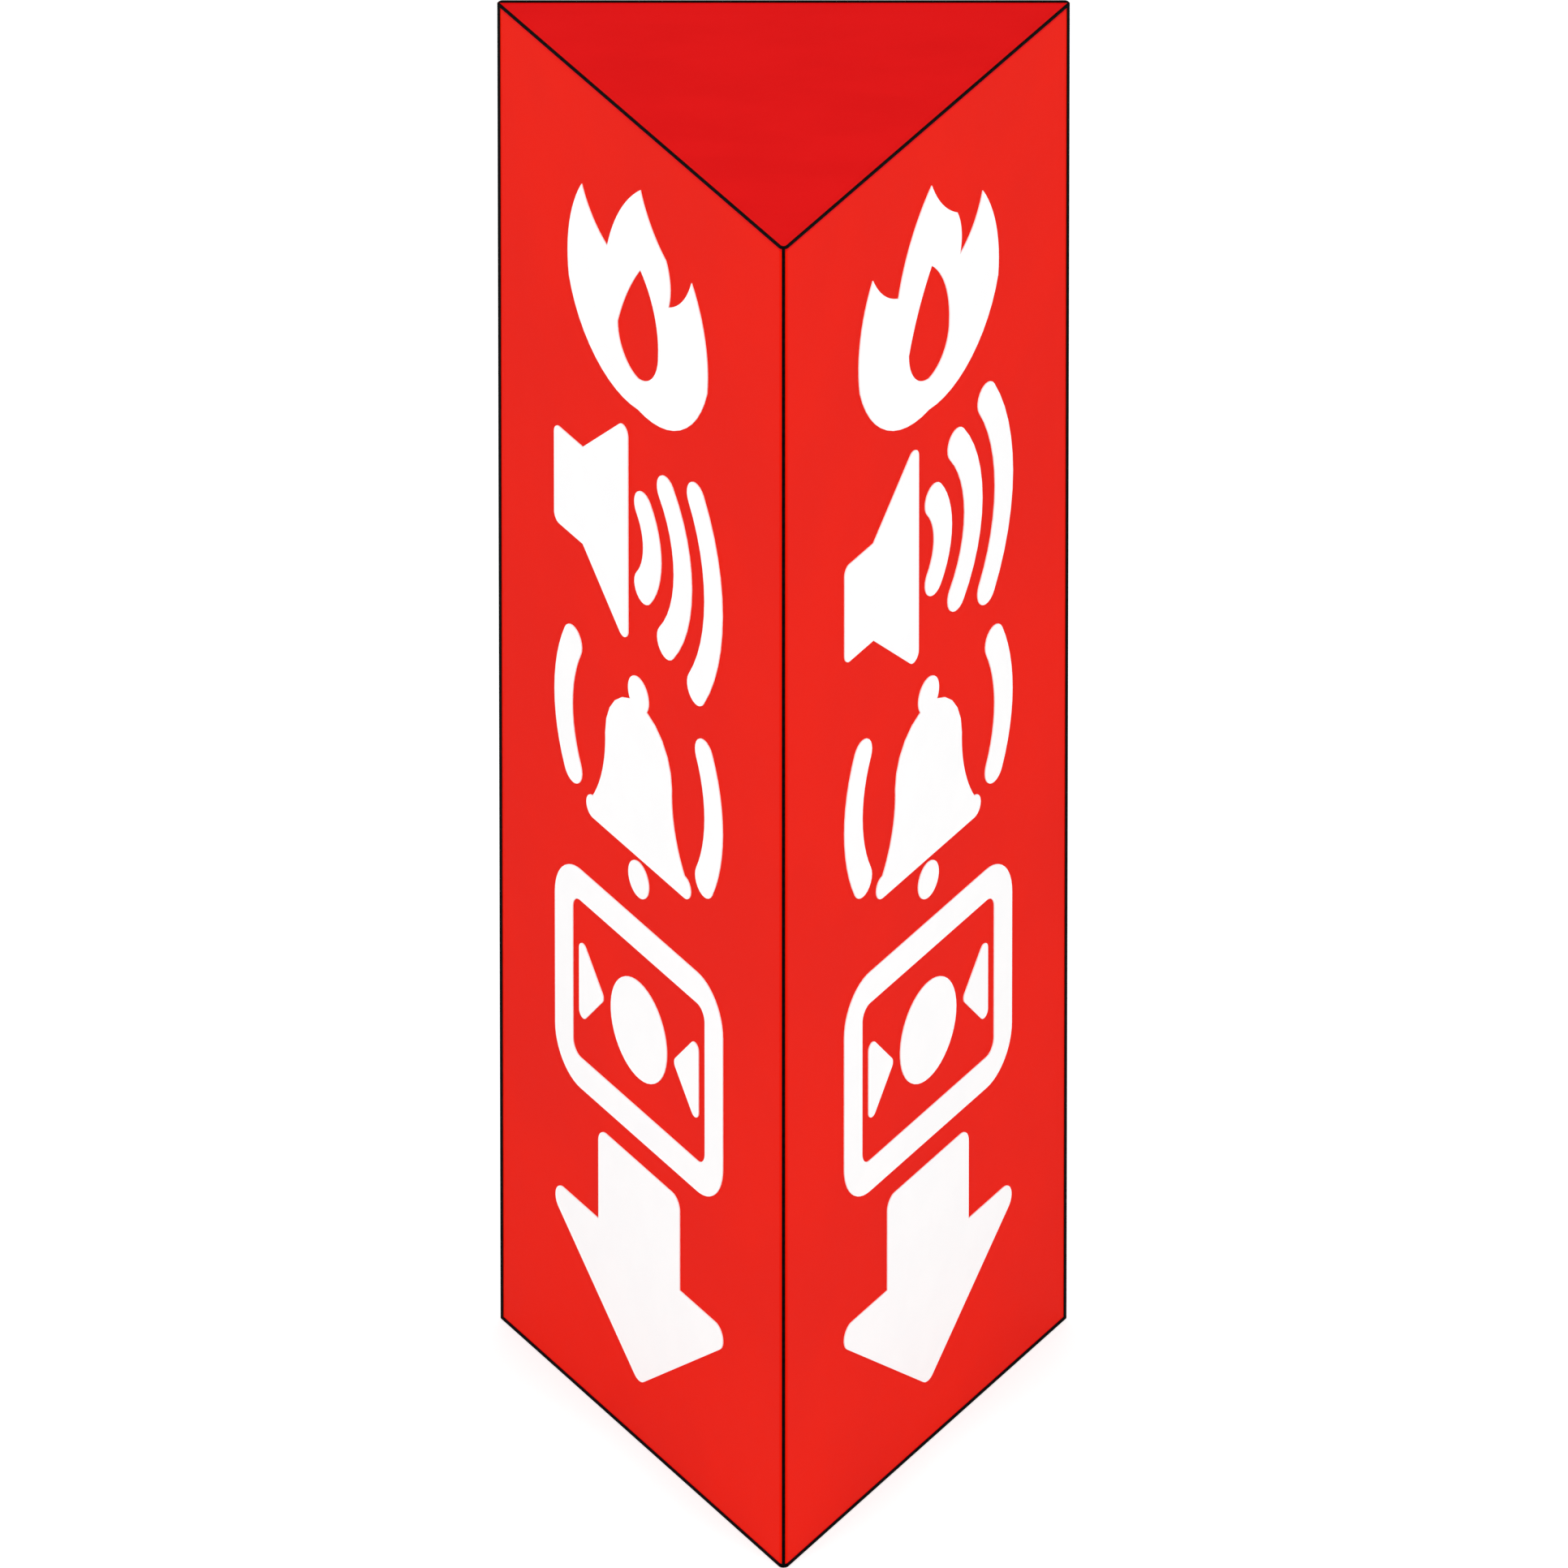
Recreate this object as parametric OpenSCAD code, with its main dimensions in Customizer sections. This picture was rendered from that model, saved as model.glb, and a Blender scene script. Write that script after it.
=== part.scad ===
// Three-sided wall sign: a folded steel body with two faces that meet at a ridge, closed by
// two moulded end caps. It hangs by a strap on the hooks of a plate that is screwed to the wall.
// +Z is up, +Y points into the wall, and the origin is the centre of the wall plate's back face.

/* [Body] */
// Overall width across the two back corners
body_w = 112; // [96:1:150]
// Overall depth from the wall to the ridge
body_d = 97; // [84:1:130]
// Overall height, caps included
body_h = 300; // [280:1:450]
// Thickness of the folded sheet
sheet_t = 0.8; // [0.6:0.1:1.2]
// Inner radius of the sheet's folds
fold_inner_r = 0.2; // [0.1:0.1:0.6]
// Width of each flange that returns along the wall
flange_w = 16; // [14:1:20]

/* [End caps] */
// Thickness of the flange that closes the end of the body
cap_t = 1; // [0.8:0.1:1.6]
// Wall of the skirt that plugs into the body
skirt_t = 1.5; // [1.2:0.1:2.2]
// Length of the skirt
skirt_h = 13; // [13:0.5:20]
// Outer corner radius of the skirt
skirt_r = 2.5; // [2.3:0.1:4]
// Gap between the skirt and the sheet
skirt_gap = 0.2; // [0.1:0.05:0.4]
// Thickness of the bottom cap's floor
floor_t = 1.2; // [1:0.1:2]
// Outer radius of the screw boss on the floor
boss_r = 4; // [3.5:0.1:6]
// Height of the screw boss above the floor
boss_h = 7; // [5:0.5:12]

/* [Wall plate] */
// Thickness of the wall plate
plate_t = 1.2; // [0.8:0.1:1.6]
// Gap between the plate and each return flange
plate_side_gap = 4; // [1:0.5:8]
// Gap between the plate's ends and the skirts
plate_end_gap = 2; // [1:0.5:6]
// Corner radius of the plate
plate_corner_r = 3; // [1:0.5:6]
// Inner radius of the plate's folds
plate_fold_r = 0.4; // [0.2:0.1:0.8]
// Radius of the wall screw holes
wall_hole_r = 2.5; // [2:0.1:3.5]
// Distance between the wall screw holes, across
wall_hole_x = 48; // [30:1:56]
// Distance between the wall screw holes, upwards
wall_hole_z = 180; // [120:1:190]

/* [Hanging] */
// Thickness of the hanger strap
strap_t = 1.5; // [1:0.1:2.5]
// Height of the hanger strap
strap_h = 14; // [10:1:20]
// Distance from the top skirt down to the strap
strap_drop = 6; // [4:1:12]
// Gap between the strap and the plate and hooks
strap_gap = 0.3; // [0.2:0.05:0.6]
// Length of the strap's feet on the flanges
foot_w = 12; // [10:0.5:13]
// Width of each hook
hook_w = 14; // [8:1:16]
// Distance between the middles of the two hooks
hook_x = 44; // [30:1:48]
// Height of each hook's finger above its fold
hook_h = 8; // [5:1:10]
// Gap cut around each hook in the plate
hook_cut = 1; // [0.5:0.1:2]

/* [Locking screw] */
// Width of the plate's lower tongue
tongue_w = 24; // [18:1:30]
// Distance that the tongue reaches out from the wall
tongue_d = 20; // [18:1:26]
// Distance of the locking screw from the wall
lock_y = 12; // [10:1:14]
// Gap around the tongue
tongue_gap = 0.3; // [0.2:0.05:0.8]
// Radius of the screw's shank
screw_r = 2; // [1.5:0.1:2.5]
// Radial gap between the shank and the tongue's hole
screw_gap = 0.3; // [0.1:0.05:0.5]
// Radius of the screw's head
head_r = 3.8; // [3.2:0.1:5]
// Height of the screw's head
head_h = 2.2; // [1.6:0.1:3]
// Height of the head's sloping crown
crown_h = 0.7; // [0.3:0.1:1]
// Length of the shank above the head
shank_l = 8; // [6:0.5:9]
// Width of the bars of the cross recess
recess_w = 1; // [0.6:0.1:1.2]
// Depth of the cross recess
recess_h = 1.2; // [0.8:0.1:1.4]
// Gap from the screw's head up to the lower edge
rim_gap = 1.3; // [0.5:0.1:4]

/* [Rivets] */
// Radius of the rivets' shanks
rivet_r = 1.6; // [1.2:0.1:2]
// Radius of the countersunk heads
rivet_head_r = 2.4; // [2.2:0.1:3]
// Radius of the set ends inside the body
rivet_tail_r = 2.6; // [2.3:0.1:3]
// Thickness of the set ends
rivet_tail_t = 1.2; // [0.8:0.1:2]
// Radius of the dimple in each head
rivet_dimple_r = 0.9; // [0.5:0.1:1]
// Depth of the dimple in each head
rivet_dimple_h = 0.5; // [0.3:0.1:0.6]
// Distance of the rivets from the flange's free edge
rivet_edge = 6; // [5:0.5:8]
// Gap between the lower set ends and the bottom cap's floor
rivet_gap = 0.5; // [0.2:0.1:1]

/* [Symbols and lines] */
// Width of a symbol
symbol_w = 66; // [50:1:72]
// Space above and below the row of symbols
symbol_margin = 11.5; // [10:0.5:30]
// Thickness of the symbols' film
film_t = 0.2; // [0.1:0.05:0.4]
// Width of the line along the ridge, seen from the front
ridge_line_w = 0.65; // [0.3:0.05:2]
// Width of the lines along the back corners, seen from the front
side_line_w = 0.45; // [0.3:0.05:2]
// Height of the lines along the faces' lower edges
low_line_h = 0.8; // [0.4:0.1:2]
// Height of the lines along the faces' upper edges
high_line_h = 0.4; // [0.2:0.1:2]
// Width of the lines along the top's front edges
front_line_w = 0.35; // [0.2:0.05:0.8]
// Width of the line along the top's back edge
back_line_w = 1; // [0.5:0.1:2]
// Thickness of the lines
line_t = 0.1; // [0.05:0.05:0.2]

/* [Hidden] */
$fn = 48;

face_red = [0.91, 0.165, 0.114];
cap_red = [0.867, 0.098, 0.102];
zinc = [0.72, 0.74, 0.76];

// The outline is a triangle of fold centres, grown all round by the folds' outer radius
fold_r = sheet_t + fold_inner_r;
corner_x = body_w / 2 - fold_r;
ridge_y = fold_r - body_d;
face_turn = atan2(-fold_r - ridge_y, corner_x);

end_z = body_h / 2;
back_gap_w = body_w - 2 * flange_w;
skirt_inset = sheet_t + skirt_gap;
skirt_inner = skirt_inset + skirt_t;

floor_z = -end_z + rim_gap + head_h + plate_t + tongue_gap;
plate_w = back_gap_w - 2 * plate_side_gap;
plate_top = end_z - cap_t - skirt_h - plate_end_gap;
plate_bottom = -end_z + cap_t + skirt_h + plate_end_gap;

strap_y = plate_t + strap_gap;
strap_top = end_z - cap_t - skirt_h - strap_drop;
strap_bottom = strap_top - strap_h;
hook_fold_z = strap_bottom - plate_t - plate_fold_r;
hook_reach = strap_y + strap_t + strap_gap;
hook_window_h = hook_reach + hook_h;

rivet_x = back_gap_w / 2 + rivet_edge;
top_rivet_z = end_z - cap_t - skirt_h / 2;
bottom_rivet_z = floor_z + floor_t + rivet_gap + rivet_tail_r;
strap_rivet_z = strap_bottom + strap_h / 2;

symbol_count = 5;
symbol_pitch = (body_h - 2 * symbol_margin) / symbol_count;
// A cut runs this far past what it opens
over = 1;
// Steps along each arc of an outline
arc_steps = 12;

// Corners of the body's triangle, set in from its sharp outline by a distance
function inset_corners(d) = [
    [-corner_x - (fold_r - d) / tan(face_turn / 2), -d],
    [0, ridge_y - (fold_r - d) / cos(face_turn)],
    [corner_x + (fold_r - d) / tan(face_turn / 2), -d]
];

// The body seen from above, set in by a distance, with round corners
module outline(inset, corner_r) soft_polygon(inset_corners(inset + corner_r), corner_r);

module body_outline(grow = 0) outline(-grow, fold_r + grow);

module skirt_outline() outline(skirt_inset, skirt_r);

module skirt_hollow() outline(skirt_inner, skirt_r - skirt_t);

// Points of an arc about a centre, turning by a sweep from a start
function arc_points(centre, r, start, sweep) = [
    for (i = [0 : arc_steps])
        let (a = start + sweep * i / arc_steps)
            centre + r * [cos(a), sin(a)]
];

// An outline of arcs, from stops that hold x, y and the turn of the arc to the next stop
function arc_path(stops) = [
    for (i = [0 : len(stops) - 1])
        let (
            start = [stops[i][0], stops[i][1]],
            next = stops[(i + 1) % len(stops)],
            chord = [next[0], next[1]] - start,
            turn = stops[i][2],
            middle = start + chord / 2
        )
            each (turn == 0
                ? [start]
                : let (
                    centre = middle + [-chord[1], chord[0]] / (2 * tan(turn / 2)),
                    from = start - centre
                )
                    arc_points(centre, norm(from), atan2(from[1], from[0]), turn))
];

// Outline of a polygon, given anticlockwise and grown by a radius, with round outer corners
function soft_points(points, r) = [
    for (i = [0 : len(points) - 1])
        let (
            point = points[i],
            before = point - points[(i + len(points) - 1) % len(points)],
            after = points[(i + 1) % len(points)] - point,
            start = atan2(before[1], before[0]) - 90,
            turn = atan2(cross(before, after), before * after)
        )
            each (turn > 0
                ? arc_points(point, r, start, turn)
                : [point + r / cos(turn / 2) * [cos(start + turn / 2), sin(start + turn / 2)]])
];

module soft_polygon(points, r) polygon(soft_points(points, r));

// A bent band with half-round ends, about the origin, from minus to plus an angle
module arc_band(r, width, half_sweep)
    polygon(concat(
        arc_points([0, 0], r + width / 2, -half_sweep, 2 * half_sweep),
        arc_points(r * [cos(half_sweep), sin(half_sweep)], width / 2, half_sweep, 180),
        arc_points([0, 0], r - width / 2, half_sweep, -2 * half_sweep),
        arc_points(r * [cos(half_sweep), -sin(half_sweep)], width / 2, 180 - half_sweep, 180)
    ));

module round_box(w, h, r) {
    x = w / 2 - r;
    y = h / 2 - r;
    soft_polygon([[-x, -y], [x, -y], [x, y], [-x, y]], r);
}

// A quarter of a ring, for a fold, in the corner that the two signs give
module fold_section(inner_r, thickness, x_side, y_side) {
    r = inner_r + thickness;
    intersection() {
        difference() {
            circle(r);
            circle(inner_r);
        }
        translate([x_side > 0 ? 0 : -r, y_side > 0 ? 0 : -r]) square(r);
    }
}

// Draws a side view, with its x towards the wall and its y up, as a strip of a width
module side_strip(width)
    rotate([90, 0, 90])
        translate([0, 0, -width / 2])
            linear_extrude(width)
                children();

// Puts a flat drawing on a face: x to the right, y up, as seen from outside
module on_face(side, thickness)
    translate([side * corner_x / 2, -body_d / 2, 0])
        rotate([0, 0, side * face_turn])
            translate([0, -fold_r, 0])
                rotate([90, 0, 0])
                    linear_extrude(thickness)
                        children();

module at_rivets(levels)
    for (x = [-rivet_x, rivet_x], z = levels)
        translate([x, 0, z])
            rotate([90, 0, 0])
                children();

module rivet_hole()
    translate([0, 0, -over]) cylinder(r = rivet_r, h = skirt_inner + 2 * over);

module sign_shell() color(face_red)
    difference() {
        translate([0, 0, cap_t - end_z])
            linear_extrude(body_h - 2 * cap_t)
                difference() {
                    body_outline();
                    outline(sheet_t, fold_inner_r);
                    translate([-back_gap_w / 2, -fold_r])
                        square([back_gap_w, fold_r + over]);
                }
        at_rivets([bottom_rivet_z, strap_rivet_z, top_rivet_z]) {
            rivet_hole();
            cylinder(r1 = rivet_head_r, r2 = rivet_r, h = sheet_t);
        }
    }

module top_cap() color(cap_red) {
    translate([0, 0, end_z - cap_t])
        linear_extrude(cap_t)
            body_outline();
    difference() {
        translate([0, 0, end_z - cap_t - skirt_h])
            linear_extrude(skirt_h)
                difference() {
                    skirt_outline();
                    skirt_hollow();
                }
        at_rivets([top_rivet_z]) rivet_hole();
    }
}

module bottom_cap() color(cap_red)
    difference() {
        union() {
            translate([0, 0, -end_z])
                linear_extrude(cap_t)
                    difference() {
                        body_outline();
                        skirt_hollow();
                    }
            translate([0, 0, -end_z])
                linear_extrude(cap_t + skirt_h)
                    difference() {
                        skirt_outline();
                        skirt_hollow();
                    }
            translate([0, 0, floor_z])
                linear_extrude(floor_t)
                    skirt_outline();
            translate([0, -lock_y, floor_z])
                cylinder(r = boss_r, h = floor_t + boss_h);
        }
        translate([0, -lock_y, floor_z - over])
            cylinder(r = screw_r, h = floor_t + boss_h + 2 * over);
        translate([-tongue_w / 2 - tongue_gap, -skirt_inner, -end_z - over])
            cube([tongue_w + 2 * tongue_gap, skirt_inner + over, cap_t + skirt_h + 2 * over]);
        at_rivets([bottom_rivet_z]) rivet_hole();
    }

// The hooks are cut from the plate and folded out and up
module hook_section() {
    out_z = hook_fold_z + plate_fold_r;
    translate([-plate_t - plate_fold_r, hook_fold_z])
        fold_section(plate_fold_r, plate_t, 1, 1);
    translate([-hook_reach, out_z])
        square([hook_reach - plate_t - plate_fold_r, plate_t]);
    translate([-hook_reach, out_z + plate_t + plate_fold_r]) {
        fold_section(plate_fold_r, plate_t, -1, -1);
        translate([-plate_fold_r - plate_t, 0]) square([plate_t, hook_h]);
    }
}

module tongue_section() {
    top_z = floor_z - tongue_gap;
    fold_z = top_z + plate_fold_r;
    translate([-plate_t, fold_z])
        square([plate_t, plate_bottom + plate_corner_r - fold_z]);
    translate([-plate_t - plate_fold_r, fold_z])
        fold_section(plate_fold_r, plate_t, 1, -1);
    translate([-tongue_d, top_z - plate_t])
        square([tongue_d - plate_t - plate_fold_r, plate_t]);
}

module wall_plate() color(zinc)
    difference() {
        union() {
            rotate([90, 0, 0])
                linear_extrude(plate_t)
                    difference() {
                        translate([0, (plate_top + plate_bottom) / 2])
                            round_box(plate_w, plate_top - plate_bottom, plate_corner_r);
                        for (side = [-1, 1])
                            translate([
                                side * hook_x / 2 - hook_w / 2 - hook_cut,
                                hook_fold_z
                            ])
                                square([hook_w + 2 * hook_cut, hook_window_h]);
                    }
            for (side = [-1, 1])
                translate([side * hook_x / 2, 0, 0])
                    side_strip(hook_w) hook_section();
            side_strip(tongue_w) tongue_section();
        }
        for (x = [-1, 1], z = [-1, 1])
            translate([x * wall_hole_x / 2, over, z * wall_hole_z / 2])
                rotate([90, 0, 0])
                    cylinder(r = wall_hole_r, h = plate_t + 2 * over);
        translate([0, -lock_y, floor_z - tongue_gap - plate_t - over])
            cylinder(r = screw_r + screw_gap, h = plate_t + 2 * over);
    }

// The strap's feet lie on the flanges, and its middle stands clear of the plate
module hanger_strap() color(zinc)
    difference() {
        inner_x = back_gap_w / 2;
        outer_x = inner_x + foot_w;
        joggle_x = inner_x - strap_t;
        translate([0, 0, strap_bottom])
            linear_extrude(strap_h)
                polygon([
                    [-outer_x, -sheet_t], [-inner_x, -sheet_t],
                    [-joggle_x, -strap_y], [joggle_x, -strap_y],
                    [inner_x, -sheet_t], [outer_x, -sheet_t],
                    [outer_x, -sheet_t - strap_t], [inner_x, -sheet_t - strap_t],
                    [joggle_x, -strap_y - strap_t], [-joggle_x, -strap_y - strap_t],
                    [-inner_x, -sheet_t - strap_t], [-outer_x, -sheet_t - strap_t]
                ]);
        at_rivets([strap_rivet_z]) rivet_hole();
    }

// A blind rivet along its own axis, from its flush head to the set end behind the grip
module rivet(grip)
    difference() {
        union() {
            cylinder(r1 = rivet_head_r, r2 = rivet_r, h = sheet_t);
            cylinder(r = rivet_r, h = grip + rivet_tail_t);
            translate([0, 0, grip]) cylinder(r = rivet_tail_r, h = rivet_tail_t / 2);
            translate([0, 0, grip + rivet_tail_t / 2])
                cylinder(r1 = rivet_tail_r, r2 = rivet_r, h = rivet_tail_t / 2);
        }
        translate([0, 0, -over]) cylinder(r = rivet_dimple_r, h = rivet_dimple_h + over);
    }

module rivets() color(zinc) {
    at_rivets([bottom_rivet_z, top_rivet_z]) rivet(skirt_inner);
    at_rivets([strap_rivet_z]) rivet(sheet_t + strap_t);
}

module lock_screw() color(zinc)
    translate([0, -lock_y, -end_z + rim_gap])
        difference() {
            union() {
                cylinder(r1 = head_r - crown_h, r2 = head_r, h = crown_h);
                translate([0, 0, crown_h]) cylinder(r = head_r, h = head_h - crown_h);
                cylinder(r = screw_r, h = head_h + shank_l);
            }
            for (turn = [0, 90])
                rotate([0, 0, turn])
                    translate([-head_r / 2, -recess_w / 2, -over])
                        cube([head_r, recess_w, recess_h + over]);
        }

// The symbols are drawn on a grid of this width and height, with their middles at the origin
grid_w = 66;
grid_h = 50;
stroke_w = 7;

// A flame with a tall middle tongue, two side tongues and an open heart
module flame()
    difference() {
        polygon(arc_path([
            [0, -25, 80], [27, -8, 45], [21, 14, -45], [12, 4, 50], [11, 14, -35],
            [1, 25, 35], [-12, 6, -40], [-22, 15, 45], [-27, -8, 80]
        ]));
        polygon(arc_path([[0, -18, 85], [8, -9, 55], [1, 7, 20], [-8, -9, 85]]));
    }

// A bell over its clapper, between two sound marks
module bell() {
    polygon(arc_path([
        [-18, -16, 0], [18, -16, 180], [18, -11, -38], [13, 6, 180], [-13, 6, -38], [-18, -11, 180]
    ]));
    for (y = [21, -21])
        translate([0, y]) circle(4);
    for (turn = [0, 180])
        translate([0, 6]) rotate(turn) arc_band(29.5, stroke_w, 29);
}

// A loudspeaker with three sound waves
module loudspeaker() {
    soft_polygon([[-31, -9], [-21, -9], [-6, -22], [-6, 22], [-21, 9], [-31, 9]], 2);
    translate([-8, 0]) {
        arc_band(13.5, stroke_w, 42);
        arc_band(25.5, stroke_w, 42);
        arc_band(37.5, stroke_w, 35);
    }
}

// A call point: a box with a round button between two pointers
module call_point() {
    box_r = 10;
    difference() {
        round_box(grid_w, grid_h, box_r);
        round_box(grid_w - 2 * stroke_w, grid_h - 2 * stroke_w, box_r - stroke_w);
    }
    circle(11);
    for (turn = [0, 180])
        rotate(turn) soft_polygon([[-22, -7], [-15.5, 0], [-22, 7]], 1.5);
}

// An arrow that points down to what the sign marks
module down_arrow() {
    soft_polygon([[-30, 1], [0, -22], [30, 1]], 3);
    translate([0, 12]) round_box(32, 26, 3);
}

// The symbols from the top down, in the face's own drawing plane
module symbol_row()
    for (i = [0 : symbol_count - 1])
        translate([0, end_z - symbol_margin - (i + 0.5) * symbol_pitch])
            scale(symbol_w / grid_w) {
                if (i == 0) flame();
                if (i == 1) loudspeaker();
                if (i == 2) bell();
                if (i == 3) call_point();
                if (i == 4) down_arrow();
            }

module left_symbols() color("white") on_face(-1, film_t) symbol_row();

module right_symbols() color("white") on_face(1, film_t) symbol_row();

// Keeps what lies further from the wall than a distance
module beyond(distance)
    intersection() {
        children();
        translate([-body_w, -2 * body_d]) square([2 * body_w, 2 * body_d - distance]);
    }

// The part of a thin skin on the body that shows from the front
module skin_section()
    beyond(fold_r)
        difference() {
            body_outline(line_t);
            body_outline();
        }

// The lines around the top, which run into the skin along the front edges
module top_line_section()
    difference() {
        union() {
            outline(line_t, fold_r - line_t);
            beyond(fold_r) body_outline(line_t);
        }
        beyond(back_line_w) outline(front_line_w, fold_r - front_line_w);
    }

module edge_lines() color("black") {
    translate([0, 0, -end_z]) linear_extrude(low_line_h) skin_section();
    translate([0, 0, end_z - high_line_h]) linear_extrude(high_line_h) skin_section();
    translate([0, 0, -end_z])
        linear_extrude(body_h)
            intersection() {
                skin_section();
                union() {
                    translate([-ridge_line_w / 2, -2 * body_d]) square([ridge_line_w, 2 * body_d]);
                    for (side = [-1, 1])
                        translate([side * body_w / 2, -body_d])
                            square([2 * side_line_w, 2 * body_d], center = true);
                }
            }
    translate([0, 0, end_z]) linear_extrude(line_t) top_line_section();
}

sign_shell();
top_cap();
bottom_cap();
wall_plate();
hanger_strap();
rivets();
lock_screw();
left_symbols();
right_symbols();
edge_lines();
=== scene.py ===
import math

import bmesh
import bpy
from mathutils import Matrix, Vector


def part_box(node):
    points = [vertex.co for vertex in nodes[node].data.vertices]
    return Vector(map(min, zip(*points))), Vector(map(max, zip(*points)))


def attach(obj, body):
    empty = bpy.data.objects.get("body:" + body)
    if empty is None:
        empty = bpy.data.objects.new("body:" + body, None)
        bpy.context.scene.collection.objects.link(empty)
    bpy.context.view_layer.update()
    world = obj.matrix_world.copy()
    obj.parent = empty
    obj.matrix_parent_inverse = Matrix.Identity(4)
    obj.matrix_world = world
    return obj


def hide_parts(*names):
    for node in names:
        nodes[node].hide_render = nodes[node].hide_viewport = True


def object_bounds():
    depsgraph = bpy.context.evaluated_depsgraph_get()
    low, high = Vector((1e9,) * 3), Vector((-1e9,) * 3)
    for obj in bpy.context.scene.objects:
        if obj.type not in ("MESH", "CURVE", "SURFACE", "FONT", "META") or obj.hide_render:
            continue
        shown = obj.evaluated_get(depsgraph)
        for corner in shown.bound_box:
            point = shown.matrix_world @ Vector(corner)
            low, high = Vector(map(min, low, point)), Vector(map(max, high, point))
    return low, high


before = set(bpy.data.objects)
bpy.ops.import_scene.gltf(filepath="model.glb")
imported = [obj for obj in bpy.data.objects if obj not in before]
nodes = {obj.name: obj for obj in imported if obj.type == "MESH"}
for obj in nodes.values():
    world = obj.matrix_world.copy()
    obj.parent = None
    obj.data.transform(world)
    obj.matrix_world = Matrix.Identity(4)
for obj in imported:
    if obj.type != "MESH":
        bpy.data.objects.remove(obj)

# Three-sided fire alarm sign: the finish of each piece, the turned rivets, the screw and the photo's view.
# The frame, camera and lamps are in metres, and the finishes, rivets and screw in millimetres.
# Colours are linear.

cadLow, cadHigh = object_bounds()
cadMiddle = (cadLow + cadHigh) / 2
scene = bpy.context.scene
mm = 0.001
mergeGap = 0.001 * mm


def boxMiddle(name):
    low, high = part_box(name)
    return (low + high) / 2


def meshObject(name, shape):
    mesh = bpy.data.meshes.new(name)
    shape.to_mesh(mesh)
    shape.free()
    made = bpy.data.objects.new(name, mesh)
    scene.collection.objects.link(made)
    return made


# Camera: a very long lens, because the photo is a drawing in parallel projection
view = {
    "elevation": 30.4,      # degrees above level, from the height and depth of the top
    "lens": 1500,
    "sensor": 36,
    "framePixels": 1932,
    "frameHeight": 0.3080,  # what the frame spans at the object
    "ridgePixel": 965.4,    # column of the ridge
    "topPixel": 2.9,        # row of the top's back edge
    "clipNear": 0.1,        # both clips are shares of the distance
    "clipFar": 3,
}


def makeCamera(settings):
    lift = math.radians(settings["elevation"])
    forward = Vector((0, math.cos(lift), -math.sin(lift)))
    right = Vector((1, 0, 0))
    up = right.cross(forward)
    pixel = settings["frameHeight"] / settings["framePixels"]
    half = settings["framePixels"] / 2
    topEdge = Vector((0, 0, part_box("top_cap")[1].z))
    aim = (
        right * (half - settings["ridgePixel"]) * pixel
        + up * (topEdge.dot(up) - (half - settings["topPixel"]) * pixel)
        + forward * cadMiddle.dot(forward)
    )
    data = bpy.data.cameras.new("photoCamera")
    data.lens = settings["lens"]
    data.sensor_width = settings["sensor"]
    distance = settings["frameHeight"] * settings["lens"] / settings["sensor"]
    data.clip_start = distance * settings["clipNear"]
    data.clip_end = distance * settings["clipFar"]
    camera = bpy.data.objects.new("photoCamera", data)
    scene.collection.objects.link(camera)
    camera.location = aim - forward * distance
    camera.rotation_euler = forward.to_track_quat("-Z", "Y").to_euler()
    scene.camera = camera


makeCamera(view)
scene.view_settings.view_transform = "Standard"
print("camera placed")


# Light: even and symmetrical, so that both faces come out as one red
light = {
    "skyPlain": 0.67,       # what lights the object
    "skySeen": 1.0,         # what the camera and the metal see
    "lampAzimuth": 42,
    "lampElevation": 34,
    "lampDistance": 2.2,
    "lampSize": 1.8,
    "lampPower": 17.2,
    "floorSize": 12,
    "floorGap": 0.0002,
    "floorColour": 0.82,
    "floorGlow": 0.46,      # added for the camera and the metal, so that only the shadow stays below white
}


def seenByEye(tree):
    path = tree.nodes.new("ShaderNodeLightPath")
    total = path.outputs["Is Camera Ray"]
    for ray in ("Is Glossy Ray", "Is Transmission Ray"):
        larger = tree.nodes.new("ShaderNodeMath")
        larger.operation = "MAXIMUM"
        tree.links.new(total, larger.inputs[0])
        tree.links.new(path.outputs[ray], larger.inputs[1])
        total = larger.outputs[0]
    return total


def rangeOf(tree, factor, low, high):
    spread = tree.nodes.new("ShaderNodeMapRange")
    spread.inputs["To Min"].default_value = low
    spread.inputs["To Max"].default_value = high
    tree.links.new(factor, spread.inputs["Value"])
    return spread.outputs["Result"]


def makeSky(settings):
    world = bpy.data.worlds.new("studioSky")
    scene.world = world
    world.use_nodes = True
    tree = world.node_tree
    sky = tree.nodes["Background"]
    sky.inputs["Color"].default_value = (1, 1, 1, 1)
    strength = rangeOf(tree, seenByEye(tree), settings["skyPlain"], settings["skySeen"])
    tree.links.new(strength, sky.inputs["Strength"])


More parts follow.
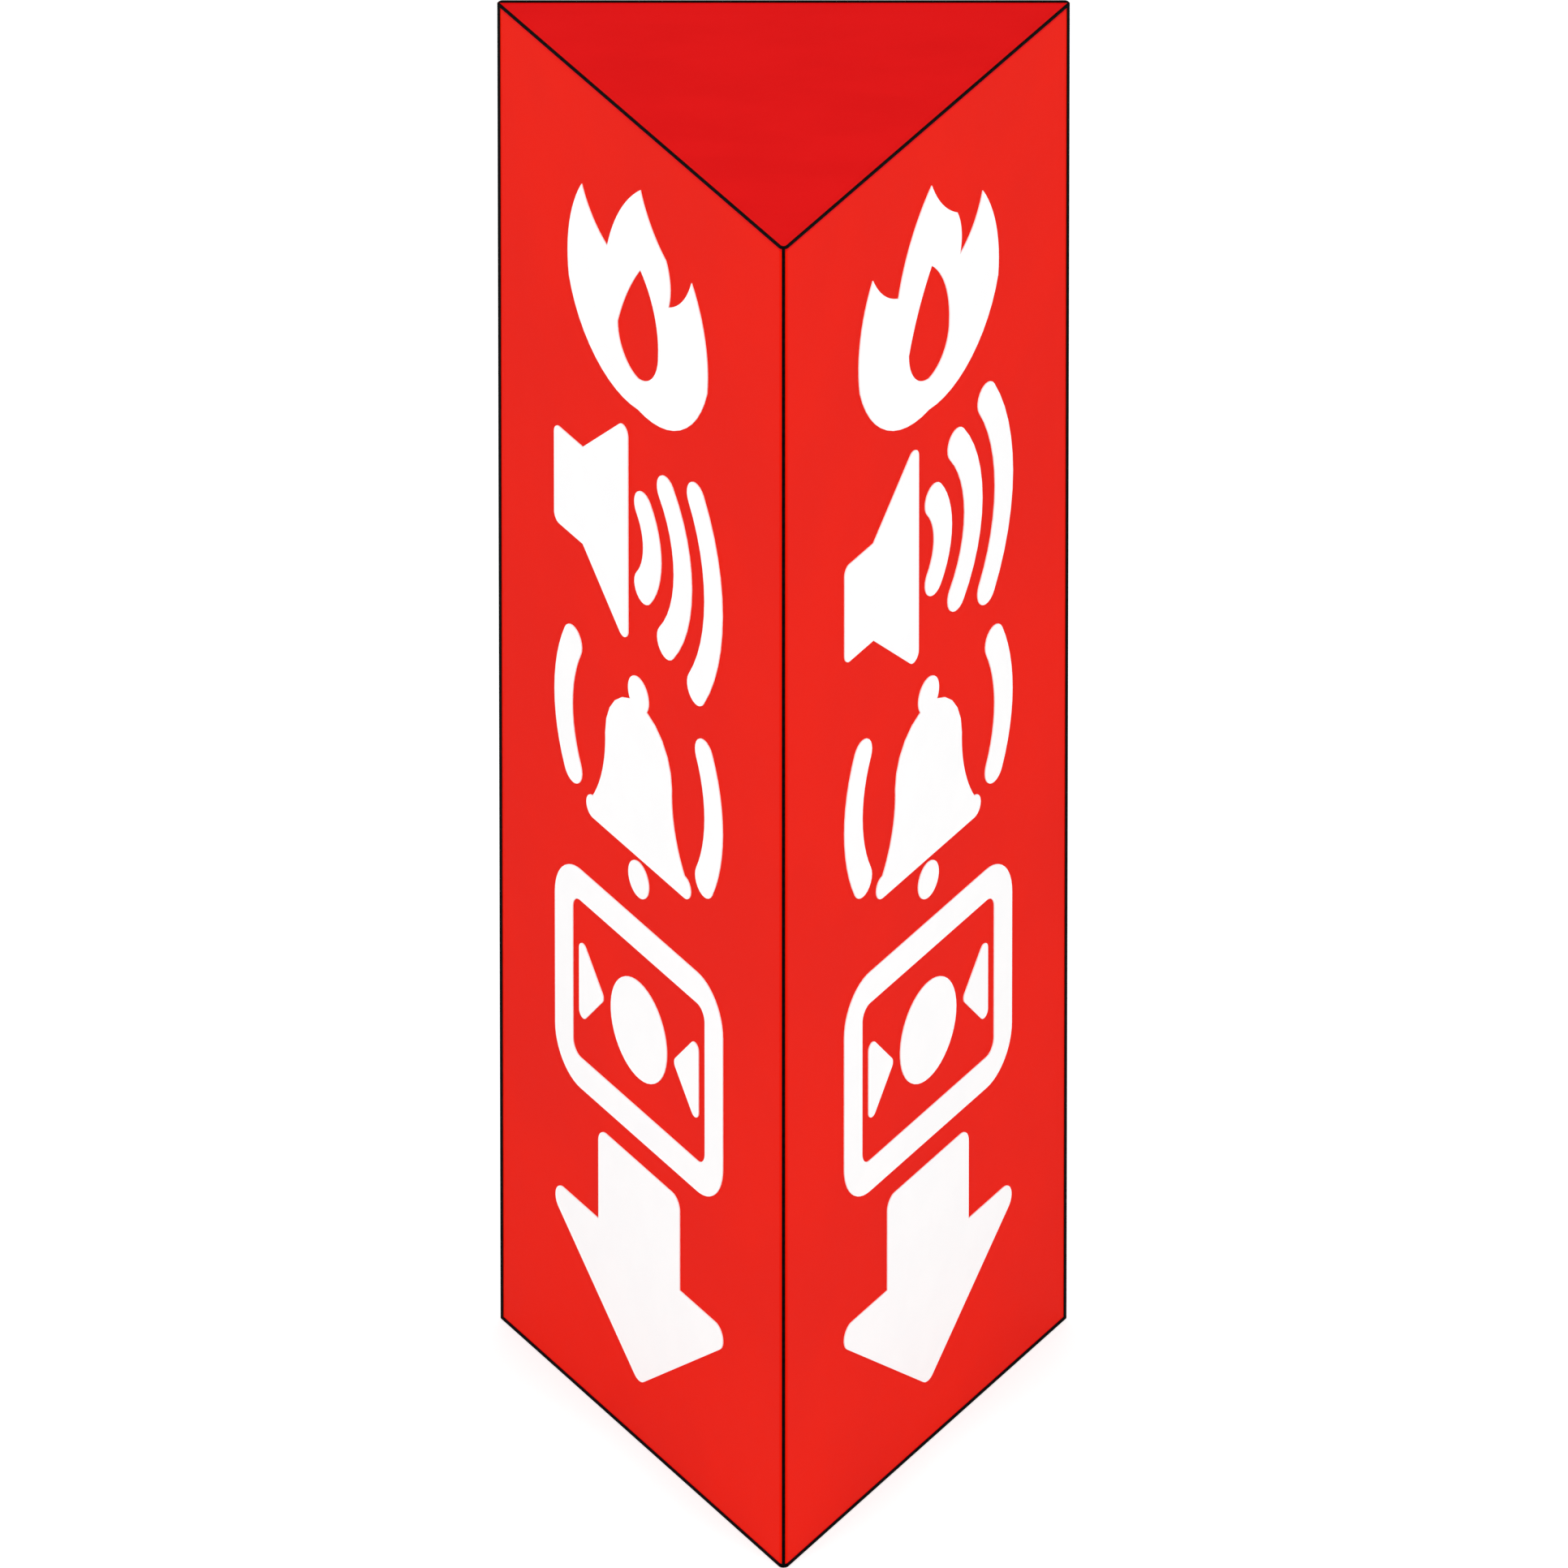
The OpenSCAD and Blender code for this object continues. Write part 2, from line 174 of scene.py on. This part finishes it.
def makeFloor(settings):
    material = bpy.data.materials.new("studioFloor")
    material.use_nodes = True
    tree = material.node_tree
    tree.nodes.remove(tree.nodes["Principled BSDF"])
    matt = tree.nodes.new("ShaderNodeBsdfDiffuse")
    matt.inputs["Color"].default_value = (settings["floorColour"],) * 3 + (1,)
    glow = tree.nodes.new("ShaderNodeEmission")
    tree.links.new(rangeOf(tree, seenByEye(tree), 0, settings["floorGlow"]), glow.inputs["Strength"])
    both = tree.nodes.new("ShaderNodeAddShader")
    tree.links.new(matt.outputs[0], both.inputs[0])
    tree.links.new(glow.outputs[0], both.inputs[1])
    tree.links.new(both.outputs[0], tree.nodes["Material Output"].inputs["Surface"])

    shape = bmesh.new()
    bmesh.ops.create_grid(shape, x_segments=1, y_segments=1, size=settings["floorSize"] / 2)
    bmesh.ops.translate(shape, verts=shape.verts, vec=(0, 0, cadLow.z - settings["floorGap"]))
    floor = meshObject("studioFloor", shape)
    floor.data.materials.append(material)


def makeLamps(settings):
    lift = math.radians(settings["lampElevation"])
    for side in (-1, 1):
        turn = math.radians(side * settings["lampAzimuth"])
        away = Vector((math.sin(turn) * math.cos(lift), -math.cos(turn) * math.cos(lift), math.sin(lift)))
        data = bpy.data.lights.new("softLamp", "AREA")
        data.shape = "DISK"
        data.size = settings["lampSize"]
        data.energy = settings["lampPower"]
        lamp = bpy.data.objects.new("softLamp", data)
        scene.collection.objects.link(lamp)
        lamp.location = cadMiddle + away * settings["lampDistance"]
        lamp.rotation_euler = (-away).to_track_quat("-Z", "Y").to_euler()


makeSky(light)
makeFloor(light)
makeLamps(light)
print("sky, floor and two soft lamps made")


# Finishes: every pattern reads Object coordinates. A cell is a pattern's size, and edges are the
# values between which it turns from one colour to the other.
def startMaterial(name, constants):
    material = bpy.data.materials.new(name)
    material.use_nodes = True
    tree = material.node_tree
    shader = tree.nodes["Principled BSDF"]
    for socket, value in constants.items():
        shader.inputs[socket].default_value = value
    coords = tree.nodes.new("ShaderNodeTexCoord")
    return material, tree, shader, coords.outputs["Object"]


def linkSurface(tree, shader, baseColour, roughness, normal):
    for socket, value in (("Base Color", baseColour), ("Roughness", roughness), ("Normal", normal)):
        tree.links.new(value, shader.inputs[socket])


def colour(r, g, b):
    return (r, g, b, 1)


def addNoise(tree, coords, cell, detail=2, stretch=(1, 1, 1)):
    mapping = tree.nodes.new("ShaderNodeMapping")
    mapping.inputs["Scale"].default_value = tuple(1 / (cell * mm * s) for s in stretch)
    tree.links.new(coords, mapping.inputs["Vector"])
    noise = tree.nodes.new("ShaderNodeTexNoise")
    noise.inputs["Scale"].default_value = 1
    noise.inputs["Detail"].default_value = detail
    tree.links.new(mapping.outputs["Vector"], noise.inputs["Vector"])
    return noise.outputs["Fac"]


# Rings about an upright axis, as a lathe leaves them. The wave's phase is 20 times scale times radius.
def addRings(tree, coords, centre, cell, wobble):
    mapping = tree.nodes.new("ShaderNodeMapping")
    mapping.vector_type = "TEXTURE"
    mapping.inputs["Location"].default_value = centre
    tree.links.new(coords, mapping.inputs["Vector"])
    rings = tree.nodes.new("ShaderNodeTexWave")
    rings.wave_type = "RINGS"
    rings.rings_direction = "Z"
    rings.inputs["Scale"].default_value = 2 * math.pi / (20 * cell * mm)
    rings.inputs["Distortion"].default_value = wobble
    tree.links.new(mapping.outputs["Vector"], rings.inputs["Vector"])
    return rings.outputs["Fac"]


def addCells(tree, coords, cell):
    cells = tree.nodes.new("ShaderNodeTexVoronoi")
    cells.inputs["Scale"].default_value = 1 / (cell * mm)
    tree.links.new(coords, cells.inputs["Vector"])
    grey = tree.nodes.new("ShaderNodeRGBToBW")
    tree.links.new(cells.outputs["Color"], grey.inputs["Color"])
    return grey.outputs["Val"]


def sharpen(tree, factor, edges):
    spread = tree.nodes.new("ShaderNodeMapRange")
    spread.interpolation_type = "SMOOTHSTEP"
    spread.inputs["From Min"].default_value, spread.inputs["From Max"].default_value = edges
    tree.links.new(factor, spread.inputs["Value"])
    return spread.outputs["Result"]


def mixColours(tree, factor, first, second):
    mix = tree.nodes.new("ShaderNodeMix")
    mix.data_type = "RGBA"
    inputs = [s for s in mix.inputs if s.type == "RGBA"]
    for socket, value in zip(inputs, (first, second)):
        if isinstance(value, tuple):
            socket.default_value = value
        else:
            tree.links.new(value, socket)
    tree.links.new(factor, mix.inputs["Factor"])
    return [s for s in mix.outputs if s.type == "RGBA"][0]


def addBump(tree, height, strength, depth):
    bump = tree.nodes.new("ShaderNodeBump")
    bump.inputs["Strength"].default_value = strength
    bump.inputs["Distance"].default_value = depth * mm
    tree.links.new(height, bump.inputs["Height"])
    return bump.outputs["Normal"]


enamel = {
    "pale": colour(0.820, 0.0087, 0.0005),
    "deep": colour(0.782, 0.0071, 0.0003),
    "gloss": 0.020,         # low, because the faces are seen aslant and would mirror the white room
    "roughness": (0.36, 0.44),
    "toneCell": 38,
    "toneEdges": (0.3, 0.7),
    "grainCell": 0.35,
    "grainEdges": (0.62, 0.9),
    "peelCell": 1.6,
    "peelStrength": 0.5,
    "peelDepth": 0.012,
}


def makeEnamel(settings):
    material, tree, shader, coords = startMaterial("redEnamel", {"Specular IOR Level": settings["gloss"]})
    tone = addNoise(tree, coords, settings["toneCell"], detail=3)
    grain = addNoise(tree, coords, settings["grainCell"], detail=1)
    peel = addNoise(tree, coords, settings["peelCell"])
    mottle = sharpen(tree, tone, settings["toneEdges"])
    specks = sharpen(tree, grain, settings["grainEdges"])
    shades = mixColours(tree, mottle, settings["deep"], settings["pale"])
    speckled = mixColours(tree, specks, shades, settings["deep"])
    roughness = rangeOf(tree, tone, *settings["roughness"])
    relief = addBump(tree, peel, settings["peelStrength"], settings["peelDepth"])
    linkSurface(tree, shader, speckled, roughness, relief)
    return material


# Caps: a moulded red of their own, partly set darker than the enamel as painted shade, so that the top
# renders darker than the faces although it gets as much light
mouldingWithPaintedShade = {
    "pale": colour(0.732, 0.0030, 0.0034),
    "deep": colour(0.698, 0.0022, 0.0026),
    "gloss": 0.025,
    "roughness": (0.46, 0.56),
    "flowCell": 26,
    "flowStretch": (1, 0.45, 1),
    "flowEdges": (0.3, 0.7),
    "grainCell": 0.42,
    "grainStrength": 0.6,
    "grainDepth": 0.01,
}


def makeMouldingWithPaintedShade(settings):
    material, tree, shader, coords = startMaterial("redMouldingWithPaintedShade", {"Specular IOR Level": settings["gloss"]})
    flow = addNoise(tree, coords, settings["flowCell"], detail=4, stretch=settings["flowStretch"])
    grain = addNoise(tree, coords, settings["grainCell"], detail=3)
    mottle = sharpen(tree, flow, settings["flowEdges"])
    shades = mixColours(tree, mottle, settings["deep"], settings["pale"])
    roughness = rangeOf(tree, grain, *settings["roughness"])
    relief = addBump(tree, grain, settings["grainStrength"], settings["grainDepth"])
    linkSurface(tree, shader, shades, roughness, relief)
    return material


film = {
    "clean": colour(0.990, 0.992, 0.992),
    "soft": colour(0.976, 0.978, 0.980),
    "gloss": 0.1,
    "roughness": (0.34, 0.46),
    "waveCell": 9,
    "waveEdges": (0.35, 0.65),
    "waveStrength": 0.4,
    "waveDepth": 0.01,
    "dustCell": 0.5,
    "dustEdges": (0.7, 0.85),
}


def makeFilm(settings):
    material, tree, shader, coords = startMaterial("whiteFilm", {"Specular IOR Level": settings["gloss"]})
    wave = addNoise(tree, coords, settings["waveCell"])
    dust = addNoise(tree, coords, settings["dustCell"])
    mottle = sharpen(tree, wave, settings["waveEdges"])
    specks = sharpen(tree, dust, settings["dustEdges"])
    shades = mixColours(tree, mottle, settings["soft"], settings["clean"])
    speckled = mixColours(tree, specks, shades, settings["soft"])
    roughness = rangeOf(tree, wave, *settings["roughness"])
    relief = addBump(tree, wave, settings["waveStrength"], settings["waveDepth"])
    linkSurface(tree, shader, speckled, roughness, relief)
    return material


ink = {
    "solid": colour(0.0010, 0.0010, 0.0011),
    "thin": colour(0.0028, 0.0026, 0.0026),
    "gloss": 0.01,
    "roughness": (0.55, 0.7),
    "coverCell": 1.2,
    "coverEdges": (0.35, 0.65),
    "coverStrength": 0.5,
    "coverDepth": 0.006,
}


def makeInk(settings):
    material, tree, shader, coords = startMaterial("blackInk", {"Specular IOR Level": settings["gloss"]})
    cover = addNoise(tree, coords, settings["coverCell"], detail=3)
    mottle = sharpen(tree, cover, settings["coverEdges"])
    shades = mixColours(tree, mottle, settings["thin"], settings["solid"])
    roughness = rangeOf(tree, cover, *settings["roughness"])
    relief = addBump(tree, cover, settings["coverStrength"], settings["coverDepth"])
    linkSurface(tree, shader, shades, roughness, relief)
    return material


zinc = {
    "bright": colour(0.57, 0.59, 0.62),
    "dull": colour(0.33, 0.35, 0.38),
    "passivated": colour(0.50, 0.51, 0.45),
    "roughness": (0.30, 0.48),
    "streakCell": 0.30,
    "streakLength": 40,     # how many times longer than wide a streak is
    "streakEdges": (0.25, 0.75),
    "streakDepth": 0.004,
    "spangleCell": 5.5,
    "spangle": 0.35,        # how far the spangle lightens the steel
    "tintCell": 34,
    "tintEdges": (0.45, 0.7),
    "tint": 0.6,            # how far the passivation's tint covers it
    "ringCell": 0.22,
    "ringWobble": 1.5,
    "ringDepth": 0.012,
    "reliefStrength": 0.5,
}


# The streaks follow the way the steel was rolled or drawn
def makeZinc(name, settings, along):
    material, tree, shader, coords = startMaterial(name, {"Metallic": 1.0})
    stretch = tuple(settings["streakLength"] if a else 1 for a in along)
    streaks = addNoise(tree, coords, settings["streakCell"], detail=3, stretch=stretch)
    spangle = addCells(tree, coords, settings["spangleCell"])
    tint = addNoise(tree, coords, settings["tintCell"])
    rollMarks = sharpen(tree, streaks, settings["streakEdges"])
    lighter = rangeOf(tree, spangle, 0, settings["spangle"])
    cover = rangeOf(tree, sharpen(tree, tint, settings["tintEdges"]), 0, settings["tint"])
    rolled = mixColours(tree, rollMarks, settings["dull"], settings["bright"])
    spangled = mixColours(tree, lighter, rolled, settings["bright"])
    tinted = mixColours(tree, cover, spangled, settings["passivated"])
    roughness = rangeOf(tree, streaks, *settings["roughness"])
    relief = addBump(tree, streaks, settings["reliefStrength"], settings["streakDepth"])
    linkSurface(tree, shader, tinted, roughness, relief)
    return material


def makeTurnedZinc(name, settings, centre):
    material, tree, shader, coords = startMaterial(name, {"Metallic": 1.0})
    rings = addRings(tree, coords, centre, settings["ringCell"], settings["ringWobble"])
    grain = addNoise(tree, coords, settings["streakCell"], detail=3)
    cover = rangeOf(tree, grain, 0, settings["tint"])
    turned = mixColours(tree, rings, settings["dull"], settings["bright"])
    tinted = mixColours(tree, cover, turned, settings["passivated"])
    roughness = rangeOf(tree, grain, *settings["roughness"])
    relief = addBump(tree, rings, settings["reliefStrength"], settings["ringDepth"])
    linkSurface(tree, shader, tinted, roughness, relief)
    return material


finishes = {
    "redEnamel": makeEnamel(enamel),
    "redMouldingWithPaintedShade": makeMouldingWithPaintedShade(mouldingWithPaintedShade),
    "whiteFilm": makeFilm(film),
    "blackInk": makeInk(ink),
    "zincPlate": makeZinc("zincPlate", zinc, (0, 0, 1)),
    "zincStrap": makeZinc("zincStrap", zinc, (1, 0, 0)),
    "zincRivet": makeZinc("zincRivet", zinc, (0, 1, 0)),
    "zincScrew": makeTurnedZinc("zincScrew", zinc, boxMiddle("lock_screw")),
}
print("finishes made:", ", ".join(finishes))


def finishNode(name, finish):
    slots = nodes[name].material_slots
    if not slots:
        nodes[name].data.materials.append(finishes[finish])
    for slot in slots:
        slot.material = finishes[finish]


for name, finish in (
    ("sign_shell", "redEnamel"),
    ("top_cap", "redMouldingWithPaintedShade"),
    ("bottom_cap", "redMouldingWithPaintedShade"),
    ("wall_plate", "zincPlate"),
    ("hanger_strap", "zincStrap"),
    ("left_symbols", "whiteFilm"),
    ("right_symbols", "whiteFilm"),
    ("edge_lines", "blackInk"),
):
    finishNode(name, finish)
print("finishes put on the carried-over pieces")


def spinProfile(profile, steps):
    shape = bmesh.new()
    points = [shape.verts.new((r * mm, 0, h * mm)) for r, h in profile]
    lines = [shape.edges.new(pair) for pair in zip(points, points[1:])]
    bmesh.ops.spin(
        shape, geom=points + lines, cent=(0, 0, 0), axis=(0, 0, 1), dvec=(0, 0, 0),
        angle=2 * math.pi, steps=steps, use_merge=True, use_duplicate=False,
    )
    bmesh.ops.remove_doubles(shape, verts=shape.verts, dist=mergeGap)
    bmesh.ops.recalc_face_normals(shape, faces=shape.faces)
    return shape


def mergeInto(whole, part):
    mesh = bpy.data.meshes.new("mergedPart")
    part.to_mesh(mesh)
    part.free()
    whole.from_mesh(mesh)
    bpy.data.meshes.remove(mesh)


def addPiece(name, shape, finish, replaced):
    piece = meshObject(name, shape)
    piece.data.materials.append(finishes[finish])
    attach(piece, "root")
    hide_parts(replaced)


# Rivets: blind rivets with a dished head, the broken mandrel in it and an upset end inside
rivet = {
    "shankR": 1.6,
    "headR": 2.4,
    "headT": 0.8,
    "dimpleR": 0.9,
    "dimpleT": 0.5,
    "mandrelR": 0.62,
    "mandrelT": 0.22,       # how deep the mandrel's broken end lies
    "crestR": 0.372,        # of the ring that stands up on the broken end
    "lip": 0.08,            # edges are rounded in steps of this
    "tailR": 2.6,
    "tailT": 1.2,
    "strapGrip": 2.3,
    "steps": 40,
}


# Half of a rivet's section, from the mandrel's end out over the head and back along the shank
def rivetProfile(size, grip):
    lip, tail = size["lip"], grip + size["tailT"]
    mandrel = [
        (0, size["mandrelT"] + lip), (size["crestR"], size["mandrelT"]),
        (size["mandrelR"], size["mandrelT"] + lip), (size["mandrelR"], size["dimpleT"]),
    ]
    head = [
        (size["dimpleR"] - lip, size["dimpleT"]), (size["dimpleR"], size["dimpleT"] - lip),
        (size["dimpleR"], lip), (size["dimpleR"] + lip, 0),
        (size["headR"] - lip, 0), (size["headR"], lip / 2),
        (size["headR"] - lip / 2, lip), (size["shankR"], size["headT"]),
    ]
    upset = [
        (size["shankR"], grip), (size["tailR"] - 3 * lip, grip),
        (size["tailR"], grip + 3 * lip), (size["tailR"] - lip, grip + 7 * lip),
        (size["shankR"] + 4 * lip, tail - 2 * lip), (size["shankR"], tail - lip),
        (size["shankR"] - 2 * lip, tail - lip), (size["dimpleR"], tail), (0, tail),
    ]
    return mandrel + head + upset


def makeRivets(size):
    low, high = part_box("rivets")
    reach = size["tailR"] * mm
    levels = (low.z + reach, boxMiddle("hanger_strap").z, high.z - reach)
    capGrip = -low.y / mm - size["tailT"]
    grips = (capGrip, size["strapGrip"], capGrip)
    intoBody = Matrix.Rotation(math.pi / 2, 4, "X")
    whole = bmesh.new()
    for level, grip in zip(levels, grips):
        for side in (-1, 1):
            one = spinProfile(rivetProfile(size, grip), size["steps"])
            place = Matrix.Translation((side * (high.x - reach), 0, level)) @ intoBody
            bmesh.ops.transform(one, matrix=place, verts=one.verts)
            mergeInto(whole, one)
    for face in whole.faces:
        face.smooth = True
    addPiece("turned_rivets", whole, "zincRivet", "rivets")


makeRivets(rivet)
print("rivets made")


# Locking screw: a pan head with a cross recess, and a coarse thread up to a blunt point
screw = {
    "headR": 3.8,
    "headT": 2.2,
    "flankT": 0.7,
    "crownSteps": 8,
    "recessL": 3.9,
    "recessW": 1.0,
    "recessT": 1.2,
    "coreR": 1.5,
    "coreTipR": 0.7,
    "tipR": 0.45,
    "tipT": 0.15,
    "threadR": 2.0,
    "threadSink": 0.1,      # how far the thread's root lies inside the core
    "pitch": 1.3,
    "threadW": 0.62,
    "crestW": 0.12,
    "bareTurns": 1,         # turns that the thread leaves out at the point
    "pointL": 1.6,
    "neckL": 0.5,
    "neckSpread": 0.3,      # how far the neck widens under the head and runs into it
    "steps": 48,
}


# Half of the head's section: a quarter of an ellipse from the crown's middle, then the flank
def headProfile(size):
    crownT = size["headT"] - size["flankT"]
    crown = []
    for step in range(size["crownSteps"] + 1):
        turn = math.pi / 2 * step / size["crownSteps"]
        crown.append((size["headR"] * math.sin(turn), crownT * (1 - math.cos(turn))))
    return crown + [(size["headR"], size["headT"]), (0, size["headT"])]


# The cross recess is cut by a boolean, which is applied at once
def cutRecess(shape, size):
    cutter = bmesh.new()
    barSize = Vector((size["recessL"], size["recessW"], 2 * size["recessT"])) * mm
    for turn in (0, math.pi / 2):
        bar = bmesh.ops.create_cube(cutter, size=1)["verts"]
        bmesh.ops.scale(cutter, verts=bar, vec=barSize)
        bmesh.ops.rotate(cutter, verts=bar, cent=(0, 0, 0), matrix=Matrix.Rotation(turn, 3, "Z"))
    blank = meshObject("headBlank", shape)
    tool = meshObject("recessTool", cutter)
    cut = blank.modifiers.new("recess", "BOOLEAN")
    cut.operation = "DIFFERENCE"
    cut.solver = "EXACT"
    cut.use_self = True
    cut.object = tool
    bpy.context.view_layer.update()
    evaluated = blank.evaluated_get(bpy.context.evaluated_depsgraph_get())
    result = bmesh.new()
    result.from_mesh(evaluated.to_mesh())
    evaluated.to_mesh_clear()
    for leftover in (blank, tool):
        mesh = leftover.data
        bpy.data.objects.remove(leftover)
        bpy.data.meshes.remove(mesh)
    return result


def addThread(shape, size, start, end):
    turns = (end - start) / size["pitch"] - size["bareTurns"]
    steps = round(turns * size["steps"])
    root = size["coreR"] - size["threadSink"]
    slope = (size["threadW"] - size["crestW"]) / 2
    section = [
        (root, 0), (size["threadR"], slope),
        (size["threadR"], slope + size["crestW"]), (root, size["threadW"]),
    ]
    corners = [shape.verts.new((r * mm, 0, (start + h) * mm)) for r, h in section]
    face = shape.faces.new(corners)
    bmesh.ops.spin(
        shape, geom=[face] + list(face.edges) + corners, cent=(0, 0, 0), axis=(0, 0, 1),
        dvec=(0, 0, size["pitch"] * turns * mm / steps), angle=2 * math.pi * turns,
        steps=steps, use_merge=False, use_duplicate=False,
    )


def makeScrew(size):
    low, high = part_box("lock_screw")
    middle = boxMiddle("lock_screw")
    length = (high.z - low.z) / mm
    neck = size["headT"] + size["neckL"]
    neckR = size["coreR"] + size["neckSpread"]
    sunk = size["headT"] - size["neckSpread"]
    core = spinProfile([
        (0, sunk), (neckR, sunk), (neckR, size["headT"]),
        (size["coreR"], neck), (size["coreR"], length - size["pointL"]),
        (size["coreTipR"], length - size["tipT"]), (size["tipR"], length), (0, length),
    ], size["steps"])
    addThread(core, size, neck, length - size["pointL"] / 2)
    whole = cutRecess(spinProfile(headProfile(size), size["steps"]), size)
    mergeInto(whole, core)
    bmesh.ops.translate(whole, verts=whole.verts, vec=(middle.x, middle.y, low.z))
    bmesh.ops.recalc_face_normals(whole, faces=whole.faces)
    addPiece("threaded_lock_screw", whole, "zincScrew", "lock_screw")


makeScrew(screw)
print("locking screw made")
